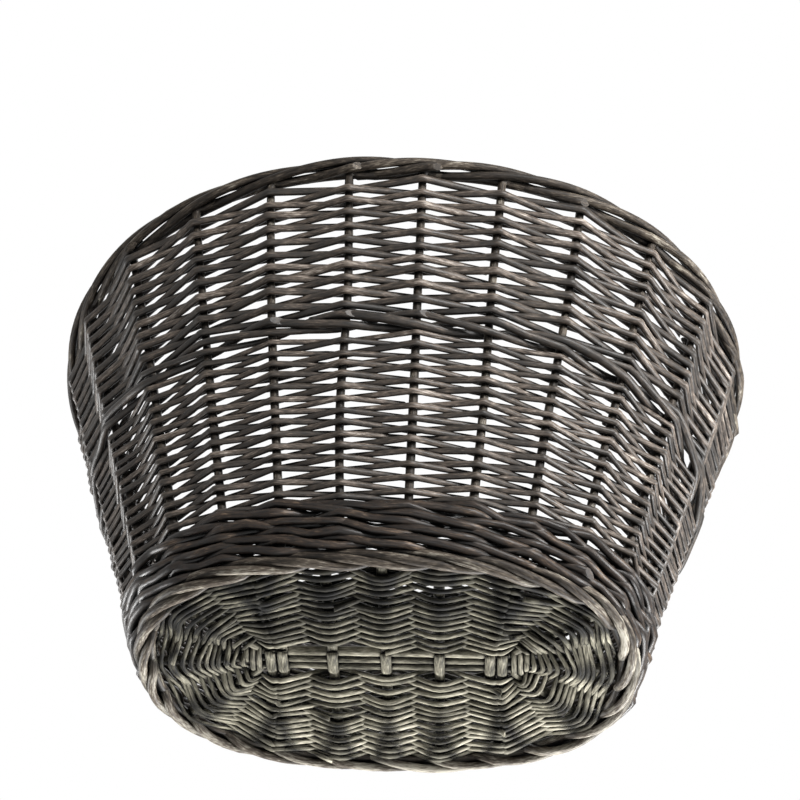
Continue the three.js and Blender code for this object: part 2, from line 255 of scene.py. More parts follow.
@dataclass
class RodStock:
    """Straight willow rods, modelled once for each number of steps and then bent along their courses."""

    sides: int = 8
    swell_range: Pair = (0.955, 1.045)
    rings_per_swell: int = 6
    bud_share: float = 0.02
    bud_swell: float = 1.1
    random: np.random.Generator = field(default_factory=lambda: np.random.default_rng(SEED))
    blanks: dict[tuple[int, int], Mesh] = field(default_factory=dict)

    def blank(self, steps: int, sides: int) -> Mesh:
        """Model a straight closed rod of radius one that is one step long per ring.

        Args:
            steps: the number of steps along the rod.
            sides: the number of sides of the rod.

        Returns:
            The rod's mesh, with cut ends as faces of their own material.
        """
        if (steps, sides) in self.blanks:
            return self.blanks[steps, sides]
        bpy.ops.object.select_all(action="DESELECT")
        bpy.ops.mesh.primitive_circle_add(vertices=sides, radius=1, fill_type="NOTHING")
        rod = bpy.context.object
        screw = rod.modifiers.new("length", "SCREW")
        screw.angle = 0
        screw.screw_offset = steps
        screw.steps = screw.render_steps = steps
        screw.use_smooth_shade = True
        bpy.ops.object.modifier_apply(modifier=screw.name)
        for end in (0, steps):
            bpy.ops.object.mode_set(mode="EDIT")
            bpy.ops.mesh.select_all(action="DESELECT")
            bpy.ops.object.mode_set(mode="OBJECT")
            for vertex in rod.data.vertices:
                vertex.select = round(vertex.co.z) == end
            bpy.ops.object.mode_set(mode="EDIT")
            bpy.ops.mesh.select_mode(type="VERT")
            bpy.ops.mesh.edge_face_add()
            bpy.ops.object.mode_set(mode="OBJECT")
        bpy.ops.object.mode_set(mode="EDIT")
        bpy.ops.mesh.select_all(action="SELECT")
        bpy.ops.mesh.normals_make_consistent(inside=False)
        bpy.ops.object.mode_set(mode="OBJECT")
        for face in rod.data.polygons:
            face.use_smooth = len(face.vertices) != sides
            face.material_index = int(not face.use_smooth)
        mesh = rod.data.copy()
        bpy.data.objects.remove(rod)
        self.blanks[steps, sides] = mesh
        return mesh

    def bend(self, course: Course, tone: float, sides: int | None = None) -> Mesh:
        """Bend a rod along a course.

        Args:
            course: the line and the sections that the rod follows.
            tone: the rod's shade, from 0 to 1.
            sides: the number of sides, or None for the usual number.

        Returns:
            The bent rod's mesh, with its straight shape kept as an attribute for the grain.
        """
        count = len(course.points)
        mesh = self.blank(count - 1, sides or self.sides).copy()
        straight = np.empty(len(mesh.vertices) * 3)
        mesh.vertices.foreach_get("co", straight)
        straight = straight.reshape(-1, 3)
        ring = np.rint(straight[:, 2]).astype(int)
        tangent = unit(np.gradient(course.points, axis=0))
        facing = unit(course.facing - tangent * np.sum(course.facing * tangent, axis=1, keepdims=True))
        across = np.cross(tangent, facing)
        swell = self.uneven(count)
        width = course.width * swell / 2
        thickness = course.thickness * swell / 2
        side = straight[:, :1] * width[ring, None]
        front = straight[:, 1:2] * thickness[ring, None]
        slant = np.zeros(count)
        slant[0], slant[-1] = course.cut_slant[0], -course.cut_slant[1]
        lean = straight[:, 1:2] * (thickness * slant)[ring, None]
        bent = course.points[ring] + across[ring] * side + facing[ring] * front + tangent[ring] * lean
        mesh.vertices.foreach_set("co", bent.ravel())
        travel = np.concatenate([[0], np.cumsum(np.linalg.norm(np.diff(course.points, axis=0), axis=1))])
        along = travel[ring, None] + tone
        grain = mesh.attributes.new("grain", "FLOAT_VECTOR", "POINT")
        grain.data.foreach_set("vector", np.hstack([side, front, along]).ravel())
        # The tone attribute holds the rod's random tone plus the light painted onto it.
        shade = mesh.attributes.new("tone", "FLOAT", "POINT")
        painted_light = np.zeros(count) if course.painted_light is None else course.painted_light
        shade.data.foreach_set("value", tone + painted_light[ring])
        return mesh

    def uneven(self, count: int) -> Array:
        """Give a rod's gentle swelling and its buds.

        Args:
            count: the number of rings along the rod.

        Returns:
            A factor near one for each ring.
        """
        knots = self.random.uniform(*self.swell_range, count // self.rings_per_swell + 2)
        swell = np.interp(np.arange(count) / self.rings_per_swell, np.arange(len(knots)), knots)
        buds = self.random.random(count) < self.bud_share
        return swell * np.where(buds, self.bud_swell, 1.0)


@dataclass
class Workshop:
    """What every part of the basket is made with: the wall's form, the stock of rods and the finishes."""

    wall: WallForm
    stock: RodStock
    bark: dict[str, Material]
    cut: Material
    tone_evenness: float = 3.0

    def piece(self, name: str, rods: list[Mesh], slot: str, replaced: str | None,
              finish: str = "") -> None:
        """Join rods into one piece of the basket.

        Args:
            name: the piece's name.
            rods: the bent rods.
            slot: the record's material slot.
            replaced: the CAD node that the piece stands for, or None.
            finish: the name of its finish, or nothing where that is the slot's.
        """
        bpy.ops.object.select_all(action="DESELECT")
        parts = [bpy.data.objects.new(name, rod) for rod in rods]
        for part in parts:
            bpy.context.collection.objects.link(part)
            part.select_set(True)
        piece = parts[0]
        bpy.context.view_layer.objects.active = piece
        if len(parts) > 1:
            bpy.ops.object.join()
        piece.name = piece.data.name = name
        piece.data.materials.clear()
        piece.data.materials.append(self.bark[finish or slot])
        piece.data.materials.append(self.cut)
        level = np.empty(len(piece.data.vertices) * 3)
        piece.data.vertices.foreach_get("co", level)
        level[2::3] = np.maximum(level[2::3], 0)
        piece.data.vertices.foreach_set("co", level)
        piece.data.update()
        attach(piece, "root")
        if replaced:
            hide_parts(replaced)
        LOG.info("%s: %d rods, %d faces", name, len(rods), len(piece.data.polygons))

    def pieces(self, name: str, groups: list[list[Mesh]], slot: str, finish: str = "") -> None:
        """Make numbered pieces, each of which stands for the CAD node of its number.

        Args:
            name: the nodes' name without the number.
            groups: the bent rods of each piece.
            slot: the record's material slot.
            finish: the name of their finish, or nothing where that is the slot's.
        """
        for index, rods in enumerate(groups):
            node = f"{name}_{index + 1:02d}"
            self.piece("woven_" + node, rods, slot, node, finish)

    def tone(self) -> float:
        """Draw the shade of the next rod, from 0 to 1."""
        return float(self.stock.random.beta(self.tone_evenness, self.tone_evenness))


@dataclass
class Stakes:
    """The upright stakes, whose butts make the foot border and whose tips make the rim border."""

    shop: Workshop
    diameter: float = 4.6 * MM
    butt_diameter: float = 4.8 * MM
    rim_diameter: float = 5.3 * MM
    tip_diameter: float = 4.2 * MM
    thick_rings: int = 4
    foot_strokes: float = 4.65
    rim_strokes: float = 4.2
    stroke_stray: float = 0.25
    foot_bundle: float = 3.3 * MM
    rim_bundle: float = 3.5 * MM
    bundle_stray: float = 0.08
    wave_share: float = 0.1
    wave_rate: float = 2.0
    wave_start: float = 6.0
    crook: float = 4.5 * MM
    crook_depth: float = 1.2 * MM
    crook_rings: int = 5
    shown_tip_share: float = 0.55
    shown_strokes: Pair = (4.8, 5.25)
    tip_lift: float = 3.4 * MM
    tip_length: float = 0.5
    tip_curl: float = 1.5
    turns: tuple[float, ...] = (-120, -130, -160, -56, 30, 120, 298, 305, 320)
    turn_stray: float = 0.12
    cuts: Pair = (0.9, 1.1)
    cut_rise: Pair = (0.3, -0.8)
    rings_per_stroke: int = 9
    wall_rings: int = 44
    lean: float = 0.03
    lean_knots: int = 4
    lean_reach: float = 0.999
    # Painted light: how much paler the foot border's tails are made, and how far from the +Y side, which the
    # lamp below lights, the paling reaches.
    painted_light_gain: float = 0.68
    painted_light_shift: float = 0.6
    sides: int = 12

    def tail(self, stake: int, core: float, bundle: float, strokes: float, border: Border) -> Array:
        """Lay the path of a border tail, which winds round the border's core as it passes the next stakes.

        Args:
            stake: the stake's number.
            core: height of the border's core line.
            bundle: distance of a rod's middle from the core line.
            strokes: how many stakes the tail passes.
            border: the border that the tail is woven into.

        Returns:
            The path's points.
        """
        wall = self.shop.wall
        stroke = np.linalg.norm(wall.point(stake + 1.0, core) - wall.point(stake, core))
        random = self.shop.stock.random
        strokes += random.uniform(-self.stroke_stray, self.stroke_stray)
        lift = 0.0
        if random.random() < self.shown_tip_share:
            strokes = random.uniform(*self.shown_strokes)
            lift = self.tip_lift
        travel = np.linspace(self.crook / stroke, strokes, int(strokes * self.rings_per_stroke))
        turn = np.radians(looped(self.turns, travel + 1)) + random.normal(0, self.turn_stray)
        turn = border.value * turn
        loose = 1 + random.normal(0, self.bundle_stray)
        wave = np.sin(travel * self.wave_rate + random.uniform(0, self.wave_start))
        bundle = bundle * (loose + self.wave_share * wave)
        near_tip = np.clip(1 - (strokes - travel) / self.tip_length, 0, 1)
        bundle = bundle + lift * near_tip**self.tip_curl
        place = stake + travel
        height = np.full_like(travel, core)
        along, _, _ = wall.axes(place, height)
        level = unit(np.cross(along, UP))
        offset = level * np.cos(turn)[:, None] + UP * np.sin(turn)[:, None]
        return wall.point(place, height) + bundle[:, None] * offset

    def crook_path(self, foot: Array, corner: Array, end: Array) -> Array:
        """Round the bend at a corner, between a straight stake's last point and its tail's first one."""
        part = np.linspace(0, 1, self.crook_rings + 2)[1:-1, None]
        return foot * (1 - part) ** 2 + corner * 2 * part * (1 - part) + end * part**2

    def course(self, stake: int) -> Course:
        """Lay a stake from its butt in the foot border to its tip in the rim border.

        Args:
            stake: the stake's number.

        Returns:
            The stake's course.
        """
        wall = self.shop.wall
        low = wall.foot_core + self.crook_depth
        high = wall.rim_core - self.crook_depth
        heights = np.linspace(low + self.crook, high - self.crook, self.wall_rings)
        lean = self.shop.stock.random.normal(0, self.lean, self.lean_knots)
        lean[[0, -1]] = 0
        climb = (self.lean_knots - 1) * np.linspace(0, 1, self.wall_rings)
        sway = looped([0, *lean], 1 + climb * self.lean_reach)
        upright = wall.point(stake + sway, heights)
        foot = self.tail(stake, wall.foot_core, self.foot_bundle, self.foot_strokes, Border.FOOT)
        rim = self.tail(stake, wall.rim_core, self.rim_bundle, self.rim_strokes, Border.RIM)
        low_bend = self.crook_path(upright[0], wall.point(stake, low), foot[0])[::-1]
        high_bend = self.crook_path(upright[-1], wall.point(stake, high), rim[0])
        points = np.vstack([foot[::-1], low_bend, upright, high_bend, rim])
        ring = np.arange(len(points))
        ends = [0, len(foot), len(points) - len(rim), len(points) - 1]
        rise = np.interp(ring, ends[1:3], self.cut_rise)
        facing = unit(points * (1 - UP)) + UP * rise[:, None]
        sizes = [self.butt_diameter, self.butt_diameter, self.rim_diameter, self.tip_diameter]
        diameter = np.interp(ring, ends, sizes)
        slim = (ring > ends[1] + self.thick_rings) & (ring < ends[2] - self.thick_rings)
        diameter = np.where(slim, self.diameter, diameter)
        # Painted light: the foot border's tails are painted paler towards +Y, where the lamp below lights
        # them.
        underside = np.clip((ring - len(foot)) / -self.rings_per_stroke, 0, 1)
        backward = np.clip(points[:, 1] / wall.foot_half_depth + self.painted_light_shift, -1, 1)
        painted_light = underside * ((1 + backward) / 2) * self.painted_light_gain
        return Course(points, facing, diameter, diameter, self.cuts, painted_light)

    def build(self) -> None:
        """Make one piece for each stake."""
        shop = self.shop
        numbers = range(shop.wall.stake_count)
        rods = [[shop.stock.bend(self.course(stake), shop.tone(), self.sides)] for stake in numbers]
        shop.pieces("stake", rods, "stake_willow")


@dataclass
class Waling:
    """Rows of three rods that pass before two stakes and behind one."""

    shop: Workshop
    name: str
    bottom: float
    rows: int
    seam: int
    node_rows: int = 1
    row_pitch: float = 0.0
    diameter: float = 4.7 * MM
    lift: float = 5.6 * MM
    stray: float = 0.45 * MM
    shade: float = 0.4
    finish: str = ""
    strokes: int = 3
    start_stroke: float = 0.62
    end_stroke: float = 1.25
    in_and_out: tuple[float, ...] = (-1, 0.05, 1, 1.12, 1, 0.05)
    up_and_down: tuple[float, ...] = (0, 1, 1, 0, -1, -1)
    stake_gap: float = 4.75 * MM
    tip_lift: float = 2.4 * MM
    stray_step: float = 0.5
    taper: Pair = (1.06, 0.9)
    stoutness: Pair = (0.82, 1.14)
    cuts: Pair = (1.2, 1.7)
    rings_per_stroke: int = 8
    sides: int = 10

    def course(self, row: int, strand: int) -> Course:
        """Lay one rod of a row.

        Args:
            row: the row, from the bottom.
            strand: which of the row's three rods.

        Returns:
            The rod's course, which starts and ends outside the basket.
        """
        wall = self.shop.wall
        count = wall.stake_count
        rings = self.rings_per_stroke
        first = strand + self.start_stroke
        last = count + (strand - count) % self.strokes + self.end_stroke
        travel = np.arange(int(first * rings), int(last * rings)) / rings
        half_strokes = 2 * (travel - strand)
        outward = looped(self.in_and_out, half_strokes) * self.stake_gap
        outward += self.tip_lift * np.clip(travel - last + 1, 0, 1)
        upward = looped(self.up_and_down, half_strokes) * self.lift / 2
        knots = np.arange(0, count + 2 * self.strokes, self.stray_step)
        random = self.shop.stock.random
        outward += np.interp(travel, knots, random.normal(0, self.stray, len(knots)))
        upward += np.interp(travel, knots, random.normal(0, self.stray, len(knots)))
        place = travel + self.seam + row * self.strokes
        height = np.full_like(travel, self.bottom + self.lift + row * self.row_pitch)
        points = wall.off(place, height, outward, upward)
        _, _, out = wall.axes(place, height)
        butt, tip = (self.diameter * share for share in self.taper)
        diameter = np.linspace(butt, tip, len(points)) * random.uniform(*self.stoutness)
        return Course(points, out, diameter, diameter, self.cuts)

    def build(self) -> None:
        """Make one piece for each CAD rod, the last of which also hold the rows that the CAD leaves out."""
        shop = self.shop
        rods: list[list[Mesh]] = [[] for _ in range(self.node_rows * self.strokes)]
        for row in range(self.rows):
            for strand in range(self.strokes):
                rod = shop.stock.bend(self.course(row, strand), shop.tone() * self.shade, self.sides)
                rods[min(row, self.node_rows - 1) * self.strokes + strand].append(rod)
        shop.pieces(self.name, rods, "weaver_willow", self.finish)


@dataclass
class Randing:
    """A band of single rods that pass in and out of the stakes, a row each time round."""

    shop: Workshop
    name: str
    bottom: float
    top: float
    rows: int
    nodes: int
    seam: int = 9
    first_row_share: float = 0.5
    fill: float = 1.2
    flatness: float = 0.82
    turns_per_rod: float = 1.28
    rod_gap: float = 0.12
    straight_shares: tuple[float, ...] = (0, 0.1, 0.5, 0.9)
    end_gap: float = 0.02
    steps: int = 3
    sides: int = 8
    stake_radius: float = 2.7 * MM
    reach_stray: float = 0.07
    stray: float = 0.36 * MM
    drift_levels: int = 9
    push: float = 0.75 * MM
    taper: Pair = (1.05, 0.93)
    stoutness: Pair = (0.9, 1.08)
    cuts: Pair = (1.2, 1.2)

    @property
    def pitch(self) -> float:
        """Distance from row to row."""
        return (self.top - self.bottom) / (self.rows + 1)

    def level(self, travel: Array) -> Array:
        """Give the heights after numbers of strokes."""
        return self.bottom + self.pitch * (self.first_row_share + travel / self.shop.wall.stake_count)

    def drift(self, knots: Array, height: Array) -> Array:
        """Give how far the rows are pushed up or down together at each stake.

        Args:
            knots: whole places counted in stakes.
            height: heights before the rim's tilt.

        Returns:
            The distance for each knot.
        """
        levels = np.linspace(self.bottom, self.top, self.drift_levels)
        table = (self.shop.wall.stake_count, self.drift_levels)
        pushes = np.random.default_rng(SEED).normal(0, self.push, table)
        pushes[:, [0, -1]] = 0
        rows = pushes[knots % len(pushes)]
        return np.array([np.interp(level, levels, row) for level, row in zip(height, rows)])

    def course(self, first: float, last: float) -> Course:
        """Lay one rod of the band.

        Args:
            first: the stroke that the rod starts in.
            last: the stroke that it ends in.

        Returns:
            The rod's course.
        """
        wall = self.shop.wall
        random = self.shop.stock.random
        size = self.pitch * self.fill * random.uniform(*self.stoutness)
        knots = np.arange(math.floor(first), math.ceil(last) + 1)
        side = np.where(knots % 2, 1, -1)
        reach = self.stake_radius + size * self.flatness / 2
        outward = side * reach * random.normal(1, self.reach_stray, len(knots))
        height = self.level(knots)
        stray = random.normal(0, self.stray, len(knots)) + self.drift(knots, height)
        corners = wall.off(knots + self.seam, height, outward, stray)
        bends = np.add.outer(knots, self.straight_shares).ravel()
        inner = (bends > first + self.end_gap) & (bends < last - self.end_gap)
        bends = np.concatenate([[first], bends[inner], [last]])
        points = smooth_path(along_knots(bends, knots, corners), self.steps)
        travel = smooth_path(bends[:, None], self.steps)[:, 0]
        _, _, out = wall.axes(travel + self.seam, self.level(travel))
        butt, tip = (size * share for share in self.taper)
        width = np.linspace(butt, tip, len(points))
        return Course(points, out, width, width * self.flatness, self.cuts)

    def build(self) -> None:
        """Make the band, one piece for each CAD node that it stands for."""
        shop = self.shop
        strokes = self.rows * shop.wall.stake_count
        per_rod = self.turns_per_rod * shop.wall.stake_count
        rods: list[list[Mesh]] = [[] for _ in range(self.nodes)]
        for start in np.arange(0, strokes, per_rod):
            end = min(start + per_rod - self.rod_gap, strokes)
            if end - start < 1:
                continue
            index = min(int(start / strokes * self.nodes), self.nodes - 1)
            rods[index].append(shop.stock.bend(self.course(start, end), shop.tone(), self.sides))
        shop.pieces(self.name, rods, "weaver_willow")


@dataclass(frozen=True)
class Arm:
    """Half of a base stick, from the slath to its end."""

    start: Array
    weave_start: Array
    end: Array
    radius: float
    unit: int


@dataclass
class BaseWork:
    """The base: long sticks through the eyes of cross sticks, and the weave round them."""

    shop: Workshop
    cross_radius: float = 2.8 * MM
    cross_pitch: float = 28.5 * MM
    pair_pitch: float = 6.4 * MM
    pair_shift_share: float = 0.25
    pair_fan: float = 7 * MM
    long_radius: float = 2.6 * MM
    long_pitch: float = 5.7 * MM
    long_spread: float = 30 * MM
    eye_half_length: float = 8.7 * MM
    eye_half_height: float = 2.7 * MM
    shoulder_share: float = 0.8
    cheek: float = 1.9 * MM
    half_shift_share: float = 0.35
    half_depth_share: float = 1.35
    half_tone: float = 0.55
    slath_half_depth: float = 10.2 * MM
    slath_half_width: float = 64.4 * MM
    slath_height: float = 12.2 * MM
    edge_height: float = 7.6 * MM
    stick_inset: float = 0.4 * MM
    stick_steps: int = 8
    stick_sides: int = 12
    stick_cuts: Pair = (0.7, 0.7)
    fan_angle: float = 30.0
    fan_open_share: float = 0.16
    slath_open_share: float = 0.01
    edge_gap: float = 1.8 * MM
    units: int = 16
    rows: int = 26
    weaver_width: float = 3.4 * MM
    weaver_thickness: float = 2.5 * MM
    weaver_lift_share: float = 0.72
    flatness: float = 0.75
    crowding: float = 1.4
    straight_shares: tuple[float, ...] = (0, 0.5)
    steps: int = 4
    wander: float = 0.42 * MM
    bunching: float = 0.026
    end_bunching: float = 1.9
    # Painted light: the base weavers are painted paler towards +X and +Y, the sides that the lamps light.
    bunch_knots: int = 9
    painted_light_along_x: float = 2.0
    painted_light_along_y: float = 8.0
    turns_per_rod: float = 1.4
    overlap: int = 7
    butt_drop: float = 3.0 * MM
    stoutness: Pair = (0.86, 1.1)
    cuts: Pair = (0.3, 1.0)
    binding_turns: Pair = (0.25, 2.75)
    binding_rings: int = 60
    binding_gap: float = 1.2 * MM
    binding_hug: float = 0.55
    binding_width_share: float = 0.95
    binding_flatness: float = 0.7

    def outline(self) -> Triple:
        """Give the oval that the sticks end on.

        Returns:
            The oval's half width, half depth and roundness.
        """
        wall = self.shop.wall
        inset = wall.border_reach + self.stick_inset
        return wall.foot_half_width - inset, wall.foot_half_depth - inset, wall.foot_roundness

    def cross_places(self) -> list[tuple[float, float, int]]:
        """Give the places of the cross sticks.

        Returns:
            Each stick's x, how far its ends fan out, and its number in the weave.
        """
        near = 2 * self.cross_pitch - self.pair_pitch * self.pair_shift_share
        far = near + self.pair_pitch
        fan = self.pair_fan
        right = [(0.0, 0.0, 0), (self.cross_pitch, 0.0, 1), (near, fan, 2), (far, fan, 2)]
        left = [(-x, -spread, -number) for x, spread, number in right[:0:-1]]
        return left + right

    def cross_arm(self, x: float, fan: float, side: int, unit_number: int = 0) -> Arm:
        """Give half of a cross stick.

        Args:
            x: the stick's place.
            fan: how far its end fans out.
            side: 1 towards the back and -1 towards the front.
            unit_number: its number in the weave.

        Returns:
            The arm.
        """
        half_width, half_depth, roundness = self.outline()
        depth = half_depth * (1 - abs((x + fan) / half_width) ** roundness) ** (1 / roundness)
        start = np.array([x, side * self.slath_half_depth, self.slath_height])
        end = np.array([x + fan, side * depth, self.edge_height])
        return Arm(start, start + (end - start) * self.slath_open_share, end, self.cross_radius, unit_number)

    def long_arm(self, row: int, side: int, unit_number: int = 0) -> Arm:
        """Give half of a long stick.

        Args:
            row: -1, 0 or 1 for the front, middle or back stick.
            side: 1 towards +X and -1 towards -X.
            unit_number: its number in the weave.

        Returns:
            The arm.
        """
        x, y = oval_point(*self.outline(), np.radians(row * self.fan_angle))
        start = np.array([side * self.slath_half_width, row * self.long_pitch, self.slath_height])
        end = np.array([side * float(x), float(y), self.edge_height])
        return Arm(start, start + (end - start) * self.fan_open_share, end, self.long_radius, unit_number)

    def arms(self) -> list[Arm]:
        """Give the arms as a weaver meets them.

        Returns:
            The arms, in which the two arms of a doubled stick are one unit.
        """
        quarter = self.units // 4
        places = self.cross_places()
        front = [(x, fan, number) for x, fan, number in places if number >= 0]
        left = [(x, fan, number) for x, fan, number in places if number < 0]
        ring = [self.cross_arm(x, fan, -1, number) for x, fan, number in front]
        ring += [self.long_arm(row, 1, quarter + row) for row in (-1, 0, 1)]
        ring += [self.cross_arm(x, fan, 1, 2 * quarter - number) for x, fan, number in reversed(places)]
        ring += [self.long_arm(row, -1, 3 * quarter - row) for row in (1, 0, -1)]
        ring += [self.cross_arm(x, fan, -1, self.units + number) for x, fan, number in left]
        return ring

    def weaver(self, strand: int) -> list[Mesh]:
        """Weave one of the two chasing weavers.

        Args:
            strand: 0 or 1.

        Returns:
            The bent rods, which are joined end to end.
        """
        arms = self.arms()
        total = self.rows // 2 * len(arms)
        random = self.shop.stock.random
        spots, faces, pitches = [], [], []
        knots = np.linspace(0, 1, self.bunch_knots)
        bunches = np.random.default_rng(SEED).normal(0, self.bunching, (len(arms), len(knots)))
        bunches[:, [0, -1]] = 0
        for arm, bunch in zip(arms, bunches):
            bunch *= self.end_bunching if arm.radius == self.long_radius else 1
        for index in range(total):
            arm = arms[index % len(arms)]
            turn = index // len(arms)
            share = (strand + 2 * (turn + arm.unit / self.units)) / (self.rows + 1)
            share += float(np.interp(share, knots, bunches[index % len(arms)]))
            run = arm.end - arm.weave_start
            length = float(np.linalg.norm(run))
            usable = 1 - self.edge_gap / length
            normal = unit(UP - run / length * float(UP @ run) / length)
            side = 1 if (arm.unit + strand) % 2 else -1
            lift = side * (arm.radius + self.weaver_thickness * self.weaver_lift_share)
            wander = random.normal(0, self.wander)
            spots.append(arm.weave_start + run * (share * usable + wander / length) + normal * lift)
            faces.append(normal)
            pitches.append(length * usable / (self.rows + 1))
        knots = np.concatenate([index + np.array(self.straight_shares) for index in range(total - 1)])
        points = smooth_path(along_knots(knots, np.arange(total), np.array(spots)), self.steps)
        spot = smooth_path(knots[:, None], self.steps)[:, 0]
        facing = unit(along_knots(spot, np.arange(total), np.array(faces)))
        pitch = np.interp(spot, np.arange(total), pitches)
        width = np.minimum(self.weaver_width, pitch * self.crowding)
        thickness = np.minimum(self.weaver_thickness, width * self.flatness)
        per_rod = int(self.turns_per_rod * len(arms) * self.steps * len(self.straight_shares))
        rods = []
        for start in range(0, len(points) - self.steps, per_rod):
            span = slice(max(start - self.overlap, 0), min(start + per_rod, len(points)))
            before_start = np.clip((start - np.arange(span.start, span.stop)) / self.overlap, 0, 1)
            path = points[span] - facing[span] * (before_start * self.butt_drop)[:, None]
            stout = random.uniform(*self.stoutness)
            # Painted light: paler towards +X and +Y, where the lamps light the base.
            painted_light = path[:, 0] * self.painted_light_along_x + path[:, 1] * self.painted_light_along_y
            course = Course(path, facing[span], width[span] * stout, thickness[span] * stout, self.cuts, painted_light)
            rods.append(self.shop.stock.bend(course, self.shop.tone()))
        return rods

    def long_stick(self, row: int) -> Mesh:
        """Bend a long stick.

        Args:
            row: -1, 0 or 1 for the front, middle or back stick.

        Returns:
            The stick's mesh.
        """
        left, right = self.long_arm(row, -1), self.long_arm(row, 1)
        knots = (-self.long_spread, 0, self.long_spread)
        spread = [np.array([x, row * self.long_pitch, self.slath_height]) for x in knots]
        path = [left.end, left.weave_start, left.start, *spread, right.start, right.weave_start, right.end]
        points = smooth_path(np.array(path), self.stick_steps)
        facing = np.tile(UP, (len(points), 1))
        diameter = np.full(len(points), 2 * self.long_radius)
        course = Course(points, facing, diameter, diameter, self.stick_cuts)
        return self.shop.stock.bend(course, self.shop.tone(), self.stick_sides)

    def split_half(self, x: float, fan: float, side: int) -> Mesh:
        """Make the upper or lower half of a cross stick that is split to let the long sticks through.

        Args:
            x: the stick's place.
            fan: how far its ends fan out.
            side: 1 for the upper half and -1 for the lower half.

        Returns:
            The half's mesh, which joins the other half at both ends.
        """
        back, front = self.cross_arm(x, fan, 1), self.cross_arm(x, fan, -1)
        reach = side * (self.eye_half_height + self.cheek / 2)
        middle = np.array([x, 0, self.slath_height + reach])
        swing = np.array([0, self.eye_half_length * self.shoulder_share, 0])
        shift = UP * side * self.cross_radius * self.half_shift_share
        path = [front.end + shift, (front.end + front.start) / 2 + shift, front.start + shift,
                middle - swing, middle, middle + swing,
                back.start + shift, (back.end + back.start) / 2 + shift, back.end + shift]
        points = smooth_path(np.array(path), self.stick_steps)
        closed = np.minimum(np.abs(points[:, 1]) / self.slath_half_depth, 1)
        thickness = self.cheek + (self.cross_radius * self.half_depth_share - self.cheek) * closed**2
        facing = np.tile(UP, (len(points), 1))
        width = np.full(len(points), 2 * self.cross_radius)
        course = Course(points, facing, width, thickness, (0, 0))
        return self.shop.stock.bend(course, self.half_tone, self.stick_sides)

    def binding(self, side: int) -> Mesh:
        """Wrap an end of the slath, where a weaver goes round all three long sticks.

        Args:
            side: 1 for the end towards +X and -1 for the end towards -X.

        Returns:
            The bent rod.
        """
        turn = np.linspace(*self.binding_turns, self.binding_rings) * 2 * math.pi
        hug = self.weaver_thickness * self.binding_hug
        half_width = self.long_pitch + self.long_radius + hug
        half_height = self.long_radius + hug
        x = side * (self.slath_half_width + self.binding_gap + turn / (2 * math.pi) * self.weaver_width)
        y, z = half_width * np.cos(turn), self.slath_height + half_height * np.sin(turn)
        points = np.stack([x, y, z], axis=-1)
        facing = np.stack([0 * turn, np.cos(turn), np.sin(turn)], axis=-1)
        width = np.full(len(turn), self.weaver_width * self.binding_width_share)
        course = Course(points, facing, width, width * self.binding_flatness)
        return self.shop.stock.bend(course, self.shop.tone())

    def build(self) -> None:
        """Make the sticks, the weavers and the bindings of the slath."""
        shop, slot = self.shop, "base_willow"
        places = self.cross_places()
        halves = [[self.split_half(x, fan, side) for side in (1, -1)] for x, fan, _ in places]
        shop.pieces("cross_stick", halves, slot)
        shop.pieces("long_stick", [[self.long_stick(row)] for row in (-1, 0, 1)], slot)
        shop.pieces("base_weaver", [self.weaver(strand) for strand in (0, 1)], slot)
        for side, name in ((-1, "slath_binding_left"), (1, "slath_binding_right")):
            shop.piece(name, [self.binding(side)], slot, None)


@dataclass(frozen=True)
class NodeBoard:
    """The shader nodes of a material or of the world, with short ways to add and wire them."""

    tree: NodeTree

    def add(self, kind: str, inputs: dict[str | int, object], **settings: object) -> Node:
        """Add a shader node.

        Args:
            kind: the node's type.
            inputs: a value or another node's socket for each input that is used.
            settings: the node's own settings.

        Returns:
            The node.
        """
        node = self.tree.nodes.new("ShaderNode" + kind)
        for name, value in settings.items():
            setattr(node, name, value)
        self.wire(node, inputs)
        return node

    def wire(self, node: Node, inputs: dict[str | int, object]) -> None:
        """Set or link a node's inputs.

        Args:
            node: the node.
            inputs: a value or another node's socket for each of the inputs.
        """
        for key, value in inputs.items():
            if isinstance(value, NodeSocket):
                self.tree.links.new(value, node.inputs[key])
            else:
                node.inputs[key].default_value = value

    def math(self, operation: str, *values: NodeSocket | float) -> NodeSocket:
        """Add a math node, and return its value."""
        return self.add("Math", dict(enumerate(values)), operation=operation).outputs["Value"]

    def attribute(self, name: str, output: str) -> NodeSocket:
        """Read an attribute of the rods."""
        return self.add("Attribute", {}, attribute_name=name).outputs[output]


def new_material(name: str) -> tuple[Material, NodeBoard, Node]:
    """Make a material with nodes.

    Args:
        name: the material's name.

    Returns:
        The material, its board and its shader.
    """
    material = bpy.data.materials.new(name)
    material.use_nodes = True
    return material, NodeBoard(material.node_tree), material.node_tree.nodes["Principled BSDF"]


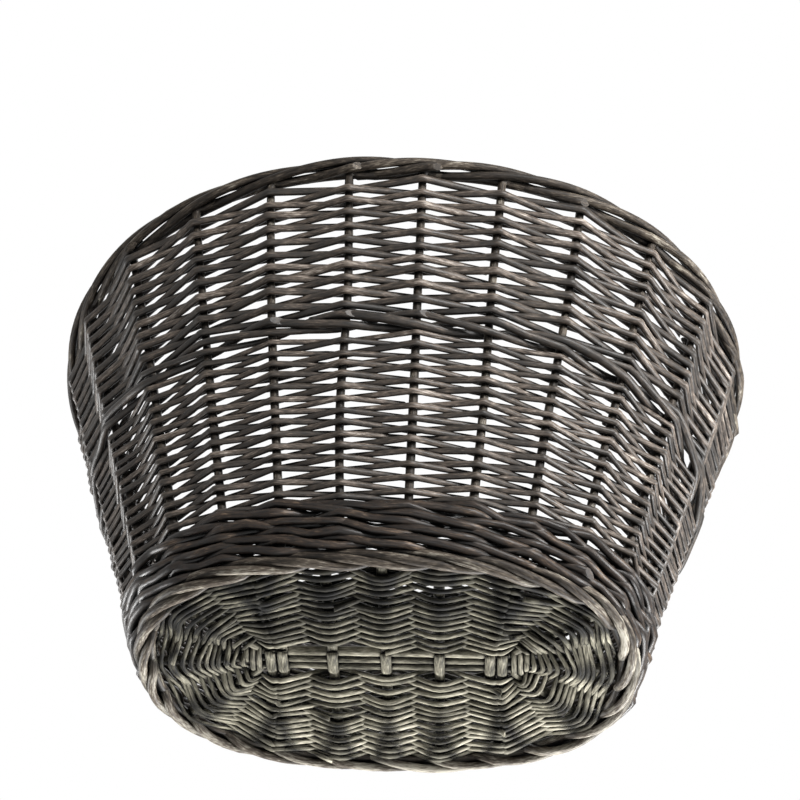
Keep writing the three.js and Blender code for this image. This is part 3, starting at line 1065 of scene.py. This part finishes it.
@dataclass(frozen=True)
class WillowFinish:
    """Stained willow: a dark bark with streaks along the rod, paler and warmer rods among the dark ones, and
    shade painted into its crevices.
    """

    name: str
    dark: Triple
    middle: Triple
    warm: Triple
    pale: Triple
    roughness: float
    sheen_spot: float
    # How dark the shade painted into crevices is, and where it starts.
    crevice_gain: float
    crevice_shift: float
    stops: tuple[float, float, float, float] = (0.22, 0.5, 0.72, 0.95)
    tone_gain: float = 0.42
    tone_shift: float = -0.65
    streak_gain: float = 1.05
    streak_across: float = 1500.0
    streak_along: float = 240.0
    streak_detail: float = 4.0
    blotch_gain: float = 0.85
    blotch_across: float = 160.0
    blotch_along: float = 55.0
    blotch_detail: float = 3.0
    rough_spread: float = 0.3
    groove: float = 0.3 * MM
    groove_strength: float = 0.55
    # The painted shade's reach and samples, and the lowest part of the foot, which is kept free of painted
    # shade.
    crevice: float = 6 * MM
    crevice_samples: int = 6
    foot_depth: float = 10 * MM
    foot_light: float = 0.9

    def noise(self, board: NodeBoard, across: float, along: float, detail: float) -> NodeSocket:
        """Add a noise that is drawn out along the rod.

        Args:
            board: the finish's nodes.
            across: the noise's scale across the rod.
            along: its scale along the rod.
            detail: how fine it is.

        Returns:
            The noise's value.
        """
        grain = board.attribute("grain", "Vector")
        stretch = board.add("Mapping", {"Scale": (across, across, along), "Vector": grain})
        inputs = {"Scale": 1.0, "Detail": detail, "Vector": stretch.outputs["Vector"]}
        return board.add("TexNoise", inputs).outputs["Fac"]

    def open_share(self, board: NodeBoard) -> NodeSocket:
        """Give how open a place is, as the mask of the shade painted into crevices, with the foot's underside
        taken as open.

        Args:
            board: the finish's nodes.

        Returns:
            The open share, from 0 to 1.
        """
        inputs = {"Distance": self.crevice}
        sky = board.add("AmbientOcclusion", inputs, samples=self.crevice_samples)
        place = board.add("TexCoord", {}).outputs["Object"]
        height = board.add("SeparateXYZ", {0: place}).outputs["Z"]
        underside = board.math("MULTIPLY_ADD", height, -1 / self.foot_depth, self.foot_light)
        return board.math("MAXIMUM", sky.outputs["AO"], underside)

    def build(self) -> Material:
        """Make the finish's nodes.

        Returns:
            The material.
        """
        material, board, shader = new_material(self.name)
        streak = self.noise(board, self.streak_across, self.streak_along, self.streak_detail)
        blotch = self.noise(board, self.blotch_across, self.blotch_along, self.blotch_detail)
        # The tone attribute carries each rod's random tone together with the light painted onto the foot
        # border and the base.
        shade = board.math("MULTIPLY_ADD", board.attribute("tone", "Fac"), self.tone_gain, self.tone_shift)
        shade = board.math("ADD", shade, board.math("MULTIPLY", blotch, self.blotch_gain))
        shade = board.math("ADD", shade, board.math("MULTIPLY", streak, self.streak_gain))
        ramp = board.add("ValToRGB", {"Fac": shade})
        stops = ramp.color_ramp.elements
        first, second, third, last = self.stops
        stops[0].position, stops[0].color = first, (*self.dark, 1)
        stops[1].position, stops[1].color = last, (*self.pale, 1)
        stops.new(second).color = (*self.middle, 1)
        stops.new(third).color = (*self.warm, 1)
        # Painted shade: the bark colour is mixed towards black where ambient occlusion finds a crevice.
        painted_shade = board.math("MULTIPLY_ADD", self.open_share(board), self.crevice_gain, self.crevice_shift)
        colors = {"A": (0, 0, 0, 1), "B": ramp.outputs["Color"], "Factor": painted_shade}
        bark_with_painted_shade = board.add("Mix", {}, data_type="RGBA")
        board.wire(bark_with_painted_shade, colors)
        rough_base = self.roughness - self.rough_spread / 2
        rough = board.math("MULTIPLY_ADD", streak, self.rough_spread, rough_base)
        relief = board.math("ADD", streak, blotch)
        inputs = {"Strength": self.groove_strength, "Distance": self.groove, "Height": relief}
        bump = board.add("Bump", inputs)
        board.wire(shader, {"Base Color": bark_with_painted_shade.outputs["Result"], "Roughness": rough,
                            "Normal": bump.outputs["Normal"], "Specular IOR Level": self.sheen_spot})
        return material


@dataclass(frozen=True)
class CutWood:
    """The pale wood of a rod's slanted cut, with its darker pith."""

    name: str = "cut_wood"
    color: Triple = (0.26, 0.236, 0.196)
    dark: Triple = (0.06, 0.052, 0.041)
    scale: float = 900.0
    roughness: float = 0.75

    def build(self) -> Material:
        """Make the cut's nodes.

        Returns:
            The material.
        """
        material, board, shader = new_material(self.name)
        grain = board.attribute("grain", "Vector")
        texture = board.add("TexNoise", {"Scale": self.scale, "Vector": grain})
        mix = board.add("Mix", {}, data_type="RGBA")
        board.wire(mix, {"A": (*self.color, 1), "B": (*self.dark, 1), "Factor": texture.outputs["Fac"]})
        board.wire(shader, {"Roughness": self.roughness, "Base Color": mix.outputs["Result"]})
        return material


@dataclass(frozen=True)
class Lamp:
    """A soft square lamp that points at the basket, with its power in watts."""

    name: str
    place: Triple
    size: float
    power: float

    def hang(self, aim_height: float) -> None:
        """Hang the lamp.

        Args:
            aim_height: height over the basket's middle that it points at.
        """
        data = bpy.data.lights.new(self.name, "AREA")
        data.size = self.size
        data.energy = self.power
        light = bpy.data.objects.new(self.name, data)
        light.location = self.place
        aim = Vector((0, 0, aim_height)) - Vector(self.place)
        light.rotation_euler = aim.to_track_quat("-Z", "Y").to_euler()
        bpy.context.collection.objects.link(light)


@dataclass(frozen=True)
class Studio:
    """A pale floor, a white surround, soft lamps and the camera, which looks up at the basket from below."""

    azimuth: float = 0.0675
    drop: float = 0.7672
    distance: float = 0.90887
    aim_height: float = 0.11
    roll: float = 0.061
    focal_pixels: float = 1570.88
    axis_pixel: Pair = (394.53, 527.12)
    picture_pixels: float = 800.0
    sensor: float = 36.0
    clip: Pair = (0.05, 50.0)
    surround: float = 0.07
    floor_size: float = 3.0
    floor_fade: Pair = (0.35, 0.95)
    floor_color: Triple = (0.86, 0.86, 0.85)
    floor_roughness: float = 0.9
    lamps: tuple[Lamp, ...] = (
        Lamp("above", (0.3, 0.5, 1.6), 0.9, 14),
        Lamp("right", (1.3, -0.25, -0.05), 0.45, 34),
        Lamp("below", (0.5, 1.1, -0.8), 0.5, 60),
        Lamp("front", (0.8, -1.3, 0.3), 0.3, 34),
        Lamp("left", (-1.4, 0.9, -0.3), 0.4, 30),
        Lamp("fill", (-0.1, -0.8, -1.1), 0.4, 4),
    )

    def camera(self) -> None:
        """Set up the camera at the photograph's view."""
        level = math.cos(self.drop)
        away = Vector((math.sin(self.azimuth) * level, -math.cos(self.azimuth) * level, -math.sin(self.drop)))
        right = (-away).cross(Vector((0, 0, 1))).normalized()
        top = right.cross(-away)
        x_axis = right * math.cos(self.roll) + top * math.sin(self.roll)
        y_axis = top * math.cos(self.roll) - right * math.sin(self.roll)
        turn = Matrix((x_axis, y_axis, away)).transposed().to_4x4()
        data = bpy.data.cameras.new("camera")
        data.sensor_width = self.sensor
        data.lens = self.focal_pixels / self.picture_pixels * self.sensor
        half = self.picture_pixels / 2
        data.shift_x = (half - self.axis_pixel[0]) / self.picture_pixels
        data.shift_y = (self.axis_pixel[1] - half) / self.picture_pixels
        data.clip_start, data.clip_end = self.clip
        view = bpy.data.objects.new("camera", data)
        place = Vector((0, 0, self.aim_height)) + away * self.distance
        view.matrix_world = Matrix.Translation(place) @ turn
        bpy.context.collection.objects.link(view)
        bpy.context.scene.camera = view

    def world(self) -> None:
        """Surround the basket with white that lights it less strongly than it shows."""
        world = bpy.data.worlds.new("surround")
        world.use_nodes = True
        bpy.context.scene.world = world
        board = NodeBoard(world.node_tree)
        path = board.add("LightPath", {}).outputs
        seen = board.math("MAXIMUM", path["Is Camera Ray"], path["Is Transmission Ray"])
        shown = board.math("MAXIMUM", seen, path["Is Glossy Ray"])
        level = board.add("MapRange", {"To Min": self.surround, "To Max": 1.0, "Value": shown})
        strength = {"Color": (1, 1, 1, 1), "Strength": level.outputs["Result"]}
        board.wire(world.node_tree.nodes["Background"], strength)

    def floor(self) -> None:
        """Lay a pale floor that shows from above only, so that the basket can be seen from below as well."""
        bpy.ops.object.select_all(action="DESELECT")
        bpy.ops.mesh.primitive_plane_add(size=self.floor_size)
        plane = bpy.context.object
        plane.name = "floor"
        material, board, shader = new_material("pale_floor")
        board.wire(shader, {"Base Color": (*self.floor_color, 1), "Roughness": self.floor_roughness})
        clear = board.add("BsdfTransparent", {})
        camera_ray = board.add("LightPath", {}).outputs["Is Camera Ray"]
        from_below = board.add("NewGeometry", {}).outputs["Backfacing"]
        shown = board.math("MULTIPLY", camera_ray, board.math("SUBTRACT", 1.0, from_below))
        place = board.add("TexCoord", {}).outputs["Object"]
        reach = board.add("VectorMath", {0: place}, operation="LENGTH").outputs["Value"]
        near, far = self.floor_fade
        fading = {"From Min": near, "From Max": far, "To Min": 1.0, "To Max": 0.0, "Value": reach}
        fade = board.add("MapRange", fading, interpolation_type="SMOOTHSTEP")
        share = board.math("MULTIPLY", shown, fade.outputs["Result"])
        mix = board.add("MixShader", {0: share, 1: clear.outputs[0], 2: shader.outputs[0]})
        board.wire(material.node_tree.nodes["Material Output"], {"Surface": mix.outputs[0]})
        plane.data.materials.append(material)

    def build(self) -> None:
        """Set up the whole studio."""
        bpy.context.scene.view_settings.view_transform = "Standard"
        self.camera()
        self.world()
        self.floor()
        for lamp in self.lamps:
            lamp.hang(self.aim_height)


def finishes() -> dict[str, Material]:
    """Make the finishes of the bark.

    Returns:
        The materials, by the names of their slots or, for the upsett's, by its own name.
    """
    barks = {
        "stake_willow": WillowFinish(
            "stake_bark", (0.007, 0.0056, 0.0043), (0.026, 0.0205, 0.0157), (0.092, 0.075, 0.058),
            (0.35, 0.326, 0.27), roughness=0.52, sheen_spot=0.15, crevice_gain=2.4, crevice_shift=-1.0),
        "weaver_willow": WillowFinish(
            "weaver_bark", (0.008, 0.0066, 0.0052), (0.035, 0.0272, 0.0208), (0.118, 0.093, 0.0745),
            (0.42, 0.372, 0.322), roughness=0.47, sheen_spot=0.32, crevice_gain=2.2, crevice_shift=-0.88),
        "upsett_willow": WillowFinish(
            "upsett_bark", (0.005, 0.0033, 0.0023), (0.027, 0.018, 0.0122), (0.122, 0.085, 0.058),
            (0.46, 0.375, 0.285), roughness=0.43, sheen_spot=0.26, crevice_gain=2.7, crevice_shift=-1.3),
        "base_willow": WillowFinish(
            "base_bark", (0.016, 0.0148, 0.011), (0.103, 0.096, 0.0725), (0.24, 0.224, 0.171),
            (0.5, 0.47, 0.375), roughness=0.64, sheen_spot=0.09, crevice_gain=3.2, crevice_shift=-1.68),
    }
    return {slot: bark.build() for slot, bark in barks.items()}


def main() -> None:
    """Build the basket part by part, then the studio, and report each piece."""
    logging.basicConfig(level=logging.INFO, format="%(message)s")
    shop = Workshop(WallForm(), RodStock(), finishes(), CutWood().build())
    upsett_bottom, lower_bottom = 8.0 * MM, 32.0 * MM
    lower_top, wale_bottom = 121.6 * MM, 120.2 * MM
    upper_bottom, upper_top = 130.2 * MM, 207.6 * MM
    BaseWork(shop).build()
    Stakes(shop).build()
    Waling(shop, "upsett_rod", upsett_bottom, rows=4, seam=1, node_rows=2, row_pitch=5.9 * MM,
           lift=4.2 * MM, stray=0.95 * MM, shade=0.3, finish="upsett_willow").build()
    Randing(shop, "lower_randing", lower_bottom, lower_top, rows=28, nodes=5).build()
    Waling(shop, "middle_wale_rod", wale_bottom, rows=1, seam=22).build()
    Randing(shop, "upper_randing", upper_bottom, upper_top, rows=20, nodes=4).build()
    Studio().build()


if __name__ == "__main__":
    main()
